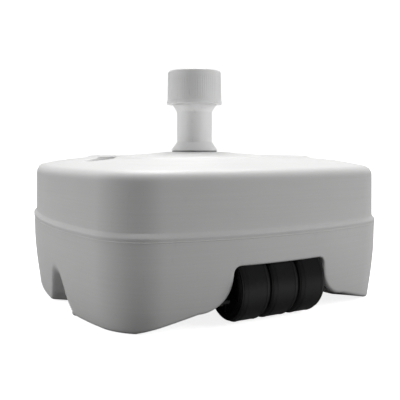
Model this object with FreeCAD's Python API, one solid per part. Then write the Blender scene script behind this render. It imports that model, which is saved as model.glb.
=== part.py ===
import FreeCAD, Part
import math
import os

# Wheeled, water-filled parasol base. Millimetres, +Z up.
# Origin: centre of the base on the ground. The wheels are on the -Y side.

# --- driving dimensions -------------------------------------------------------
HALF_WIDTH = 246.5          # centre to the parting bead, which is the widest line
CORNER_CENTRE = 137.0       # plan centre of each corner arc, in X and in Y
CORNER_RADIUS = 92.5        # plan radius of a corner at the bead
WALL = 4.0                  # moulded wall of the tank

BEAD_Z = 120.0              # parting line of the tank
SHOULDER_Z = 201.0          # where the upper wall ends and the deck starts
PLATEAU_Z = 214.5           # flat raised middle of the deck
CROWN_Z = 220.5             # deck around the neck
FOOT_RADIUS = 5.0           # rounding between the lower wall and the sole
SHOULDER_RADIUS = 15.0      # rounding between the upper wall and the deck
FOOT_INSET = 7.5            # the walls stand in by this much at the ground, from the bead line
SHOULDER_INSET = 6.0        # and by this much where the shoulder starts
BEAD_STEP = 4.5             # the upper wall starts this far inside the bead
LOWER_WALL = ((6.8, 20.0), (4.6, 34.0), (2.4, 52.0), (1.0, 72.0), (0.7, 113.0))  # (inset, height)
DECK_SLOPE = ((40.0, 205.0), (60.0, 207.5))     # (inset, height) between shoulder and plateau
PLATEAU_HALF = 152.0
PLATEAU_CORNER = 60.0
PLATEAU_CENTRE = 86.0
PLATEAU_STEP = 3.0          # height of the bevelled step round the plateau
PLATEAU_BEVEL = 6.0         # width of that step
CROWN_FOOT_RADIUS = 120.0   # the deck rises as a cone from here to the neck
CROWN_RADIUS = 44.0
SOLE_HALF = 196.0           # raised sole between the feet
SOLE_CORNER = 60.0
SOLE_CENTRE = 118.0
HUB_RADIUS = 62.0           # deeper round recess for the tube nut

FLUTE_RADIUS = 40.0         # hand hollows in the three sides without wheels
FLUTE_DEPTH = 38.0          # at the ground, from the bead line
FLUTE_TOP_Z = 98.0          # where a hollow runs out
FLUTE_Y = -40.0             # middle of the hollows in the left and right sides

WHEEL_RADIUS = 48.0
WHEEL_WIDTH = 42.6
WHEEL_SHOULDER = 6.0        # rounding at both edges of each wheel
WHEEL_Y = -206.0
WHEEL_Z = 48.9
WHEEL_PITCH = 44.2          # wheel to wheel along the axle
AXLE_RADIUS = 5.0
WELL_HALF = 73.0            # half-width of the wheel well
WELL_BACK_Y = -146.0
WELL_ROOF_Z = 104.0
LIP_GAP = 2.5               # between the wheels and the front lip of the well
MOUTH_TOP_Z = 80.2
MOUTH_HALF = 71.0
MOUTH_CORNER = 10.0         # rounding of the upper corners of the opening
FLARE_RADIUS = 45.0         # the sides of the opening curve out to this radius
FLARE_Z = 66.0              # and start to curve at this height
CHIN_X = 186.0              # where the rising front edge meets the corner foot
CHIN_Z = 1.0
CHIN_Y = -160.0             # the rise runs back this far

TUBE_RADIUS = 30.0
SOCKET_RADIUS = 26.0        # tube and collet bore, for a 50 mm pole
HEAD_RADIUS = 36.0
HEAD_TOP_Z = 334.0
NUT_RADIUS = 44.8
NUT_BOTTOM_Z = 297.0
NUT_TOP_Z = 351.0
COLLET_Z = 302.0            # lower end of the collet
COLLET_HEIGHT = 39.0
SLIP_RING_HEIGHT = 3.0

FILLER_X = -150.0
FILLER_Y = -6.0
SPOUT_RADIUS = 19.0
RECESS_FLOOR_Z = 190.0      # bottom of the pocket that the filler cap sits in
RECESS_RADIUS = 36.0

# --- levels derived from them -------------------------------------------------
UNDERSIDE_Z = 20.0          # raised sole inside the rim that stands on the ground
HUB_ROOF_Z = 26.0           # underside around the neck tube
TUBE_FOOT_Z = 8.0
SLEEVE_RADIUS = TUBE_RADIUS + 1.5
COLLET_TOP_Z = COLLET_Z + COLLET_HEIGHT
SPOUT_TOP_Z = RECESS_FLOOR_Z + 9.0
ARC_STEPS = 5               # levels that stand for a rounded edge of the cavity
BIG = 400.0                 # reaches past the whole base
BELOW = -20.0               # cutters that open downwards start here

WASHER_GAP = WHEEL_PITCH - WHEEL_WIDTH
WASHER = WASHER_GAP - 0.4
ROLLER_END = 1.5 * WHEEL_PITCH + WASHER_GAP / 2
BRACKET_IN = WELL_HALF - 0.9
BRACKET_OUT = BRACKET_IN + 21.0
BRACKET_HALF = 14.0
BRACKET_TOP_Z = WHEEL_Z + 13.0
EAR_HALF = 26.0
EAR_TOP_Z = 36.0
EAR_THICK = 4.0
SCREW_RADIUS = 2.0
SCREW_TOP_Z = EAR_TOP_Z + 18.0

X = FreeCAD.Vector(1, 0, 0)
Y = FreeCAD.Vector(0, 1, 0)
Z = FreeCAD.Vector(0, 0, 1)


def vec(x, y, z):
    return FreeCAD.Vector(x, y, z)


def box(x0, x1, y0, y1, z0, z1):
    return Part.makeBox(x1 - x0, y1 - y0, z1 - z0, vec(x0, y0, z0))


def disc(x, y, z0, z1, radius):
    return Part.makeCylinder(radius, z1 - z0, vec(x, y, z0))


def ring(x, y, z0, z1, outer, inner):
    return disc(x, y, z0, z1, outer).cut(disc(x, y, z0 - 1, z1 + 1, inner))


def lathe(points):
    """Solid of revolution about Z from (radius, height) points."""
    corners = [vec(r, 0, z) for r, z in points]
    face = Part.Face(Part.makePolygon(corners + corners[:1]))
    return face.revolve(vec(0, 0, 0), Z, 360)


# --- tank ---------------------------------------------------------------------
def outline(half, corner, centre, z):
    """Rounded square with bulged sides: four corner arcs and four flat side arcs."""
    side = (corner ** 2 - 2 * centre ** 2 + 2 * centre * half - half ** 2) / (2 * (centre + corner - half))
    lean = math.atan2(centre, side - half + centre)
    edges = []
    for quarter in range(4):
        turn = math.radians(90 * quarter)
        side_centre = vec(half - side, 0, z)
        corner_centre = vec(centre, centre, z)
        arcs = [(side_centre, side, -lean, lean),
                (corner_centre, corner, lean, math.pi / 2 - lean)]
        for middle, radius, start, stop in arcs:
            points = []
            for angle in (start, (start + stop) / 2, stop):
                point = middle + vec(radius * math.cos(angle), radius * math.sin(angle), 0)
                points.append(vec(point.x * math.cos(turn) - point.y * math.sin(turn),
                                  point.x * math.sin(turn) + point.y * math.cos(turn), z))
            edges.append(Part.Arc(*points).toShape())
    return Part.Wire(edges)


def inset_outline(inset, z):
    return outline(HALF_WIDTH - inset, CORNER_RADIUS - inset, CORNER_CENTRE, z)


def rounded_levels(inset, z, radius, lower):
    """(inset, z) steps round an edge, from the sole up or from the wall to the deck."""
    levels = []
    for step in range(ARC_STEPS + 1):
        angle = math.radians(90 * step / ARC_STEPS)
        if lower:
            levels.append((inset + radius * (1 - math.sin(angle)), z + radius * (1 - math.cos(angle))))
        else:
            levels.append((inset + radius * (1 - math.cos(angle)), z - radius * (1 - math.sin(angle))))
    return levels


def tank_levels(skin):
    """(inset, z) levels of the wall. skin moves them inwards by a wall thickness."""
    foot = rounded_levels(FOOT_INSET + skin, skin, FOOT_RADIUS, True)
    wall = [(inset + skin, z) for inset, z in LOWER_WALL]
    bead = [(skin, BEAD_Z - 5.5), (skin, BEAD_Z - 2.5), (BEAD_STEP + skin, BEAD_Z + 6)]
    shoulder = rounded_levels(SHOULDER_INSET + skin, SHOULDER_Z - skin, SHOULDER_RADIUS, False)
    return foot + wall + bead + shoulder


def tank_form(skin):
    """Closed outer form of the tank, or its cavity when skin is the wall thickness."""
    wires = [inset_outline(inset, z) for inset, z in tank_levels(skin)]
    wires += [inset_outline(inset + skin, z - skin) for inset, z in DECK_SLOPE]
    wires.append(outline(PLATEAU_HALF + PLATEAU_BEVEL - skin, PLATEAU_CORNER + PLATEAU_BEVEL,
                         PLATEAU_CENTRE, PLATEAU_Z - PLATEAU_STEP - skin))
    wires.append(outline(PLATEAU_HALF - skin, PLATEAU_CORNER, PLATEAU_CENTRE, PLATEAU_Z - skin))
    body = Part.makeLoft(wires, True, True)
    crown = Part.makeCone(CROWN_FOOT_RADIUS, CROWN_RADIUS, CROWN_Z - PLATEAU_Z,
                          vec(0, 0, PLATEAU_Z - skin))
    return body.fuse(crown)


def wheel_well(skin):
    """Pocket for the roller, open below and to the front. skin grows it for the cavity."""
    half = WELL_HALF + skin
    back = box(-half, half, WHEEL_Y, WELL_BACK_Y + skin, -BIG, WELL_ROOF_Z + skin)
    front = Part.makeCylinder(WHEEL_RADIUS + LIP_GAP + skin, 2 * half, vec(-half, WHEEL_Y, WHEEL_Z), X)
    deep = mouth(skin, [], WELL_BACK_Y + skin)
    chin = mouth(skin, [(CHIN_X, CHIN_Z + skin)], CHIN_Y + skin)
    return [back, front, deep, chin]


def mouth(skin, chin, back_y):
    """Opening in the front wall: rounded top corners, sides that flare out to the feet.

    chin lists more (x, z) points outwards along the lower front edge.
    """
    half = MOUTH_HALF + skin
    top = MOUTH_TOP_Z + skin
    flare = FLARE_RADIUS - skin
    tip = half + flare
    inner = half - MOUTH_CORNER
    edges = []
    for sign in (1, -1):
        def at(x, z):
            return vec(sign * x, 0, z)

        corner_bow = MOUTH_CORNER * (1 - math.sqrt(0.5))
        flare_bow = flare * (1 - math.sqrt(0.5))
        edges.append(Part.Arc(at(inner, top), at(half - corner_bow, top - corner_bow),
                              at(half, top - MOUTH_CORNER)).toShape())
        edges.append(Part.LineSegment(at(half, top - MOUTH_CORNER), at(half, FLARE_Z)).toShape())
        edges.append(Part.Arc(at(half, FLARE_Z), at(half + flare_bow, FLARE_Z - flare + flare_bow),
                              at(tip, FLARE_Z - flare)).toShape())
        path = [(tip, FLARE_Z - flare)] + chin
        path.append((path[-1][0], BELOW))
        for start, stop in zip(path, path[1:]):
            edges.append(Part.LineSegment(at(*start), at(*stop)).toShape())
    reach = path[-1][0]
    edges.append(Part.LineSegment(vec(-reach, 0, BELOW), vec(reach, 0, BELOW)).toShape())
    edges.append(Part.LineSegment(vec(-inner, 0, top), vec(inner, 0, top)).toShape())
    prism = Part.Face(Part.Wire(Part.__sortEdges__(edges))).extrude(vec(0, -200, 0))
    prism.translate(vec(0, back_y, 0))
    return prism


def flutes(skin):
    """Hand hollows that run out upwards, one in each side without wheels."""
    radius = FLUTE_RADIUS
    foot_x = HALF_WIDTH - FLUTE_DEPTH + radius
    head_x = HALF_WIDTH - 1 + radius
    rise = FLUTE_TOP_Z
    axis = vec(head_x - foot_x, 0, rise)
    cutters = []
    for turn, along in ((0, FLUTE_Y), (90, 0), (180, -FLUTE_Y)):
        start = vec(foot_x, along, 0) - axis
        cutter = Part.makeCylinder(radius + skin, 3 * axis.Length, start, axis)
        cutter.rotate(vec(0, 0, 0), Z, turn)
        cutters.append(cutter)
    return cutters


def underside(skin):
    """Raised sole between the feet, and the deeper round recess for the tube nut."""
    sole = outline(SOLE_HALF + skin, SOLE_CORNER + skin, SOLE_CENTRE, BELOW)
    plate = Part.Face(sole).extrude(vec(0, 0, UNDERSIDE_Z + skin - BELOW))
    hub = disc(0, 0, BELOW, HUB_ROOF_Z + skin, HUB_RADIUS + skin)
    return [plate, hub]


def filler_recess(skin):
    """Round pocket in the deck that hides the filler cap."""
    return disc(FILLER_X, FILLER_Y, RECESS_FLOOR_Z - skin, BIG, RECESS_RADIUS + skin)


def bracket_slots(skin):
    """Pockets beside the well that the axle brackets push into from below."""
    slots = []
    for sign in (1, -1):
        x0, x1 = sorted((sign * (WELL_HALF - 1 - skin), sign * (BRACKET_OUT + 0.3 + skin)))
        half = BRACKET_HALF + 0.3 + skin
        slots.append(box(x0, x1, WHEEL_Y - half, WHEEL_Y + half, BELOW, BRACKET_TOP_Z + 0.3 + skin))
        ear = EAR_HALF + 0.5 + skin
        slots.append(box(x0, x1, WHEEL_Y - ear, WHEEL_Y + ear, BELOW, EAR_TOP_Z + skin))
    return slots


def make_tank():
    """Blow-moulded shell with a filler spout and a dry sleeve for the neck tube."""
    outer = tank_form(0)
    outer = outer.cut([filler_recess(0)] + wheel_well(0) + flutes(0) + underside(0) + bracket_slots(0))
    cavity = tank_form(WALL)
    cavity = cavity.cut([filler_recess(WALL)] + wheel_well(WALL) + flutes(WALL) + underside(WALL)
                        + bracket_slots(WALL) + [disc(0, 0, -10, BIG, SLEEVE_RADIUS + WALL)]
                        + screw_bosses())
    tank = outer.cut(cavity)
    spout = disc(FILLER_X, FILLER_Y, RECESS_FLOOR_Z - 1, SPOUT_TOP_Z, SPOUT_RADIUS)
    tank = tank.fuse(spout)
    holes = [disc(0, 0, -10, BIG, SLEEVE_RADIUS),
             disc(FILLER_X, FILLER_Y, RECESS_FLOOR_Z - 2 * WALL, SPOUT_TOP_Z + 1, SPOUT_RADIUS - 3)]
    holes += [disc(x, y, -1, SCREW_TOP_Z, SCREW_RADIUS) for x, y in screw_places()]
    return tank.cut(holes).removeSplitter()


# --- neck ---------------------------------------------------------------------
def make_pole_tube():
    """Socket for the pole: flared collar on the deck, conical seat and threaded head."""
    profile = [(4, TUBE_FOOT_Z), (TUBE_RADIUS, TUBE_FOOT_Z), (TUBE_RADIUS, CROWN_Z + 2),
               (37.5, CROWN_Z + 2), (37, CROWN_Z + 3.5), (TUBE_RADIUS + 0.8, CROWN_Z + 14),
               (TUBE_RADIUS, CROWN_Z + 16), (TUBE_RADIUS, 284.5), (34.5, 296), (HEAD_RADIUS, 299),
               (HEAD_RADIUS, HEAD_TOP_Z), (31.4, HEAD_TOP_Z), (28.8, COLLET_Z),
               (SOCKET_RADIUS, COLLET_Z - 1), (SOCKET_RADIUS, TUBE_FOOT_Z + 4), (4, TUBE_FOOT_Z + 4)]
    return lathe(profile)


def make_tube_gasket():
    return ring(0, 0, CROWN_Z, CROWN_Z + 2, 36.5, TUBE_RADIUS)


def make_tube_washer():
    return ring(0, 0, HUB_ROOF_Z - 2, HUB_ROOF_Z, 46, TUBE_RADIUS)


def make_tube_nut():
    """Wing-lobed ring nut that pulls the neck tube down from below."""
    top = HUB_ROOF_Z - 2
    body = disc(0, 0, top - 13, top, 40)
    lobes = 6
    for index in range(lobes):
        angle = math.radians(360 / lobes * index)
        body = body.fuse(disc(42 * math.cos(angle), 42 * math.sin(angle), top - 13, top, 7))
    return body.cut(disc(0, 0, 0, top + 1, TUBE_RADIUS)).removeSplitter()


def make_collet():
    """Split clamping sleeve: a flange above and six tapered fingers below."""
    top = COLLET_TOP_Z
    sleeve = lathe([(SOCKET_RADIUS, COLLET_Z), (28.4, COLLET_Z), (31.0, HEAD_TOP_Z), (31.0, top - 4),
                    (35.0, top - 4), (35.0, top), (SOCKET_RADIUS, top)])
    fingers = 6
    slots = []
    for index in range(fingers):
        slot = box(20, 34, -1, 1, COLLET_Z - 1, top - 6)
        slot.rotate(vec(0, 0, 0), Z, 360 / fingers * index)
        slots.append(slot)
    return sleeve.cut(slots)


def make_slip_ring():
    return ring(0, 0, COLLET_TOP_Z, COLLET_TOP_Z + SLIP_RING_HEIGHT, 35, 27.2)


def make_clamp_nut():
    """Ribbed hand nut over the head, with a smooth lip at its lower edge."""
    roof = COLLET_TOP_Z + SLIP_RING_HEIGHT
    body = lathe([(HEAD_RADIUS + 0.6, NUT_BOTTOM_Z), (NUT_RADIUS, NUT_BOTTOM_Z),
                  (NUT_RADIUS, NUT_BOTTOM_Z + 5), (NUT_RADIUS - 0.8, NUT_BOTTOM_Z + 6),
                  (NUT_RADIUS - 1.6, NUT_TOP_Z - 4), (NUT_RADIUS - 2.8, NUT_TOP_Z - 1.2),
                  (NUT_RADIUS - 5.6, NUT_TOP_Z), (29.0, NUT_TOP_Z), (27.0, NUT_TOP_Z - 2),
                  (27.0, roof), (HEAD_RADIUS + 0.6, roof)])
    grooves = []
    count = 48
    for index in range(count):
        angle = math.radians(360 / count * index)
        reach = NUT_RADIUS - 0.1
        grooves.append(disc(reach * math.cos(angle), reach * math.sin(angle),
                            NUT_BOTTOM_Z + 8, NUT_TOP_Z - 8, 1.2))
    return body.cut(Part.makeCompound(grooves))


# --- filler -------------------------------------------------------------------
def make_cap_seal():
    return ring(FILLER_X, FILLER_Y, SPOUT_TOP_Z, SPOUT_TOP_Z + 2, SPOUT_RADIUS, SPOUT_RADIUS - 4)


def make_filler_cap():
    """Screw cap with a grip bar across its top."""
    roof = SPOUT_TOP_Z + 2
    skirt = SPOUT_RADIUS + 0.4
    cap = disc(FILLER_X, FILLER_Y, RECESS_FLOOR_Z + 1.5, roof + 3, SPOUT_RADIUS + 4)
    cap = cap.cut(disc(FILLER_X, FILLER_Y, RECESS_FLOOR_Z, roof, skirt))
    bar = box(FILLER_X - 18, FILLER_X + 18, FILLER_Y - 2.5, FILLER_Y + 2.5, roof + 2, roof + 6)
    return cap.fuse(bar).removeSplitter()


# --- roller -------------------------------------------------------------------
def wheel_centres():
    return {"wheel_left": -WHEEL_PITCH, "wheel_middle": 0.0, "wheel_right": WHEEL_PITCH}


def along_axle(shape, x):
    """Turn a shape made about Z onto the axle line, centred at x."""
    shape.rotate(vec(0, 0, 0), Y, 90)
    shape.translate(vec(x, WHEEL_Y, WHEEL_Z))
    return shape


def make_wheel(x):
    """Hollow drum with rounded shoulders, slightly domed ends and a hub."""
    half = WHEEL_WIDTH / 2
    drum = disc(0, 0, -half, half, WHEEL_RADIUS)
    rims = [edge for edge in drum.Edges if edge.Curve.TypeId == "Part::GeomCircle"]
    drum = drum.makeFillet(WHEEL_SHOULDER, rims)
    dishes = [ring(0, 0, side * (half - 2) - 2, side * (half - 2) + 2, 34, 14) for side in (1, -1)]
    hollow = ring(0, 0, 6 - half, half - 6, WHEEL_RADIUS - 4.5, 11)
    bore = disc(0, 0, -half - 1, half + 1, AXLE_RADIUS + 0.08)
    return along_axle(drum.cut(dishes + [hollow, bore]), x)


def make_axle():
    return along_axle(disc(0, 0, -BRACKET_OUT + 4, BRACKET_OUT - 4, AXLE_RADIUS), 0)


def make_wheel_washers():
    """Thin nylon washers between the wheels and at both ends of the roller."""
    washers = []
    for place in (-1.5, -0.5, 0.5, 1.5):
        washer = ring(0, 0, -WASHER / 2, WASHER / 2, 12, AXLE_RADIUS + 0.05)
        washers.append(along_axle(washer, place * WHEEL_PITCH))
    return Part.makeCompound(washers)


def make_axle_bracket(sign):
    """Block with a blind bore for the axle, on an eared plate screwed up into the tank."""
    x0, x1 = sorted((sign * BRACKET_IN, sign * BRACKET_OUT))
    low = EAR_TOP_Z - EAR_THICK
    block = box(x0, x1, WHEEL_Y - BRACKET_HALF, WHEEL_Y + BRACKET_HALF, low, BRACKET_TOP_Z)
    ears = box(x0, x1, WHEEL_Y - EAR_HALF, WHEEL_Y + EAR_HALF, low, EAR_TOP_Z)
    collar = along_axle(disc(0, 0, ROLLER_END, BRACKET_IN + 1, 11), 0)
    if sign < 0:
        collar = collar.mirror(vec(0, 0, 0), X)
    bore = along_axle(disc(0, 0, -BRACKET_OUT + 4, BRACKET_OUT - 4, AXLE_RADIUS), 0)
    bracket = block.fuse([ears, collar]).cut(bore)
    holes = [disc(x, y, 0, EAR_TOP_Z + 1, SCREW_RADIUS) for x, y in screw_places()]
    return bracket.cut(holes).removeSplitter()


def screw_places():
    middle = (BRACKET_IN + BRACKET_OUT) / 2
    reach = (BRACKET_HALF + EAR_HALF) / 2
    return [(sx * middle, WHEEL_Y + sy * reach) for sx in (1, -1) for sy in (1, -1)]


def screw_bosses():
    return [disc(x, y, 0, SCREW_TOP_Z + 3, SCREW_RADIUS + 4) for x, y in screw_places()]


def make_bracket_screws():
    screws = []
    under = EAR_TOP_Z - EAR_THICK
    for x, y in screw_places():
        shank = disc(x, y, under - 1, SCREW_TOP_Z, SCREW_RADIUS)
        head = disc(x, y, under - 2.6, under, 4.2)
        cross = [box(x - 2.2, x + 2.2, y - 0.5, y + 0.5, under - 3, under - 1.2),
                 box(x - 0.5, x + 0.5, y - 2.2, y + 2.2, under - 3, under - 1.2)]
        screws.append(head.fuse(shank).cut(cross))
    return Part.makeCompound(screws)


def main():
    os.makedirs("parts", exist_ok=True)
    nodes = {
        "tank": make_tank(),
        "pole_tube": make_pole_tube(),
        "tube_gasket": make_tube_gasket(),
        "tube_washer": make_tube_washer(),
        "tube_nut": make_tube_nut(),
        "collet": make_collet(),
        "slip_ring": make_slip_ring(),
        "clamp_nut": make_clamp_nut(),
        "cap_seal": make_cap_seal(),
        "filler_cap": make_filler_cap(),
        "axle": make_axle(),
        "wheel_washers": make_wheel_washers(),
        "axle_bracket_left": make_axle_bracket(-1),
        "axle_bracket_right": make_axle_bracket(1),
        "bracket_screws": make_bracket_screws(),
    }
    for name, x in wheel_centres().items():
        nodes[name] = make_wheel(x)
    for name, shape in nodes.items():
        shape.exportStep(f"parts/{name}.step")
        print(name, "valid" if shape.isValid() else "INVALID", len(shape.Solids), "solids",
              round(shape.Volume / 1000, 1), "cm3")


main()
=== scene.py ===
import logging
import math
from dataclasses import dataclass
from enum import Enum
from typing import Iterable, Protocol, Sequence

import bmesh
import bpy
from bmesh.types import BMesh, BMVert
from mathutils import Matrix, Vector


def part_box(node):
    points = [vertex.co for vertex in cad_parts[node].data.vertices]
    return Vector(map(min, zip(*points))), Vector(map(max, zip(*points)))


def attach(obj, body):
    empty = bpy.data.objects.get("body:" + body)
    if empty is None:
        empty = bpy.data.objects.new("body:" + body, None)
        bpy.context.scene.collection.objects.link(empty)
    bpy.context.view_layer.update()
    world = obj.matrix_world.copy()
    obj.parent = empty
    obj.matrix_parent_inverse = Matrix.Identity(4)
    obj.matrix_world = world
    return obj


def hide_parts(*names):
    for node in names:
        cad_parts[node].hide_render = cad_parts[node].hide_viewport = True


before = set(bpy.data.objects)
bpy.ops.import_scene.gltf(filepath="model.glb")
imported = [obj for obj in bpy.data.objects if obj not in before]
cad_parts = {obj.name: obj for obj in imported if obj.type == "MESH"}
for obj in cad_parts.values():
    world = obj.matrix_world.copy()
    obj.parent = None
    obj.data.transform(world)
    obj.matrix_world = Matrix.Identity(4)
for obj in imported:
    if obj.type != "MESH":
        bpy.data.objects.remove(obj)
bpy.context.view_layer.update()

# Meshes are shaped in millimetres and scaled to metres when a piece is finished.
METRES_PER_MM = 0.001
FULL_TURN = 2 * math.pi
# Halvings when a place on a curve is searched for.
SEARCH_STEPS = 30
# Pieces that the tank's rounded edges are made of.
ROUNDING_STEPS = 5

log = logging.getLogger("parasol_base")


class Body(Enum):
    """The moving bodies that pieces ride on."""

    BASE = "base"
    LEFT_WHEEL = "left_wheel"
    MIDDLE_WHEEL = "middle_wheel"
    RIGHT_WHEEL = "right_wheel"
    CLAMP_SLEEVE = "clamp_sleeve"
    HAND_NUT = "hand_nut"
    CAP_GASKET = "cap_gasket"
    CAP = "cap"


class Slot(Enum):
    """The record's material slots."""

    TANK = "tank_white"
    NECK = "neck_white"
    NUT = "nut_white"
    CAP = "cap_white"
    NYLON = "collet_nylon"
    UNDER = "under_plastic"
    WHEEL = "wheel_black"
    BRACKET = "bracket_black"
    SEAL = "seal_rubber"
    STEEL = "zinc_steel"


class NodeBox:
    """The box of a CAD node at rest, in millimetres."""

    def __init__(self, node: str) -> None:
        """Reads the box.

        Args:
            node: name of the CAD node.
        """
        low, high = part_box(node)
        self.low = Vector(low) / METRES_PER_MM
        self.high = Vector(high) / METRES_PER_MM
        self.middle = (self.low + self.high) / 2
        self.size = self.high - self.low


# --- shaping helpers ----------------------------------------------------------


def smooth_step(low: float, high: float, value: float) -> float:
    """Eases from 0 to 1 as value goes from low to high.

    Args:
        low: value where the result leaves 0.
        high: value where the result reaches 1.
        value: the value to ease.

    Returns:
        A number from 0 to 1.
    """
    share = min(max((value - low) / (high - low), 0.0), 1.0)
    return share * share * (3 - 2 * share)


def mix(first: float, second: float, share: float) -> float:
    """Value between first and second, at share of the way."""
    return first + (second - first) * share


def rounded_line(corners: Sequence[tuple[float, float, float]], steps: int = 5) -> list[Vector]:
    """Turns a line of straight runs into one with rounded corners.

    Args:
        corners: (across, up, rounding radius) of each corner.
        steps: pieces that each rounding is made of.

    Returns:
        Points in the XZ plane, from the first corner to the last.
    """
    points = [Vector((across, 0, up)) for across, up, _ in corners]
    line = [points[0]]
    for index in range(1, len(points) - 1):
        corner, radius = points[index], corners[index][2]
        back = (points[index - 1] - corner).normalized()
        ahead = (points[index + 1] - corner).normalized()
        opening = back.angle(ahead)
        if radius <= 0 or opening > math.pi - 0.01:
            line.append(corner)
            continue
        reach = radius / math.tan(opening / 2)
        centre = corner + (back + ahead).normalized() * (radius / math.sin(opening / 2))
        first, last = corner + back * reach - centre, corner + ahead * reach - centre
        for step in range(steps + 1):
            end = (first, last)[step // steps]
            spoke = end if step in (0, steps) else first.slerp(last, step / steps)
            line.append(centre + spoke)
    line.append(points[-1])
    return line


def divided(line: Sequence[Vector], longest: float) -> list[Vector]:
    """Adds points to a line, so that none of its runs is long.

    Args:
        line: the points.
        longest: the most that a run may measure.

    Returns:
        The points with the new ones between them.
    """
    points = [line[0]]
    for start, stop in zip(line, line[1:]):
        parts = max(1, math.ceil((stop - start).length / longest - 1e-6))
        points += [start.lerp(stop, part / parts) for part in range(1, parts + 1)]
    return points


def turned(profile: Sequence[Vector], steps: int) -> BMesh:
    """Spins a profile about the Z axis.

    Args:
        profile: points in the XZ plane. A closed profile repeats its first point.
        steps: pieces round the full turn.

    Returns:
        The turned mesh, with its faces pointing outwards.
    """
    bm = bmesh.new()
    verts = [bm.verts.new(point) for point in profile]
    edges = [bm.edges.new(pair) for pair in zip(verts, verts[1:])]
    bmesh.ops.spin(bm, geom=verts + edges, cent=(0, 0, 0), axis=(0, 0, 1), dvec=(0, 0, 0),
                   angle=FULL_TURN, steps=steps, use_merge=True, use_duplicate=False)
    bmesh.ops.remove_doubles(bm, verts=bm.verts, dist=0.001)
    bmesh.ops.recalc_face_normals(bm, faces=bm.faces)
    return bm


def bevelled_box(low: Vector, high: Vector, rounding: float, segments: int = 3) -> BMesh:
    """Box with rounded edges.

    Args:
        low: lowest corner.
        high: highest corner.
        rounding: radius of the edges.
        segments: pieces that each rounding is made of.

    Returns:
        The box.
    """
    bm = bmesh.new()
    place = Matrix.Translation((low + high) / 2) @ Matrix.Diagonal((*(high - low), 1))
    bmesh.ops.create_cube(bm, size=1, matrix=place)
    bmesh.ops.bevel(bm, geom=list(bm.edges), offset=rounding, offset_type="OFFSET", segments=segments,
                    profile=0.5, affect="EDGES", material=-1, clamp_overlap=True)
    return bm


def merged(parts: Iterable[BMesh]) -> BMesh:
    """Puts several meshes together in one.

    Args:
        parts: the meshes, which are freed.

    Returns:
        The mesh that holds them all.
    """
    whole = bmesh.new()
    for part in parts:
        carrier = bpy.data.meshes.new("carrier")
        part.to_mesh(carrier)
        part.free()
        whole.from_mesh(carrier)
        bpy.data.meshes.remove(carrier)
    return whole


def grown_loop(bm: BMesh, loop: Sequence[BMVert], places: Sequence[Vector]) -> list[BMVert]:
    """Extrudes a closed loop of edges and puts the new loop in place.

    Args:
        bm: the mesh.
        loop: the loop's vertices, in order.
        places: where the new vertex of each one goes.

    Returns:
        The new loop's vertices, in the same order.
    """
    edges = [bm.edges.get(pair) for pair in zip(loop, [*loop[1:], loop[0]])]
    made = bmesh.ops.extrude_edge_only(bm, edges=edges)["geom"]
    fresh = {item for item in made if isinstance(item, BMVert)}
    new_loop = []
    for vert, place in zip(loop, places):
        partner = next(edge.other_vert(vert) for edge in vert.link_edges if edge.other_vert(vert) in fresh)
        partner.co = place
        new_loop.append(partner)
    return new_loop


def open_loop(start: BMVert) -> list[BMVert]:
    """Walks along the open edges of a mesh, or along a closed wire.

    Args:
        start: a vertex on the loop.

    Returns:
        The loop's vertices, in order.
    """
    loop = [start]
    last = None
    while True:
        here = loop[-1]
        ahead = [edge.other_vert(here) for edge in here.link_edges if edge.is_boundary or edge.is_wire]
        following = next(vert for vert in ahead if vert is not last)
        if following is start:
            return loop
        last = here
        loop.append(following)


def finished(bm: BMesh, name: str, material: bpy.types.Material, body: Body,
             replaced: Sequence[str] = (), crease: float = 32.0) -> bpy.types.Object:
    """Makes a shaped mesh a piece of the model.

    Args:
        bm: the mesh in millimetres, which is freed.
        name: name of the piece.
        material: its finish.
        body: the body that it moves with.
        replaced: CAD nodes that it stands for.
        crease: edges that turn more than this many degrees look sharp.

    Returns:
        The piece.
    """
    bmesh.ops.scale(bm, vec=(METRES_PER_MM,) * 3, verts=bm.verts)
    mesh = bpy.data.meshes.new(name)
    bm.to_mesh(mesh)
    bm.free()
    mesh.shade_smooth()
    mesh.set_sharp_from_angle(angle=math.radians(crease))
    mesh.materials.append(material)
    piece = bpy.data.objects.new(name, mesh)
    bpy.context.scene.collection.objects.link(piece)
    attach(piece, body.value)
    if replaced:
        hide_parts(*replaced)
    log.info("%s: %d faces", name, len(mesh.polygons))
    return piece


# --- finishes -----------------------------------------------------------------


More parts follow.
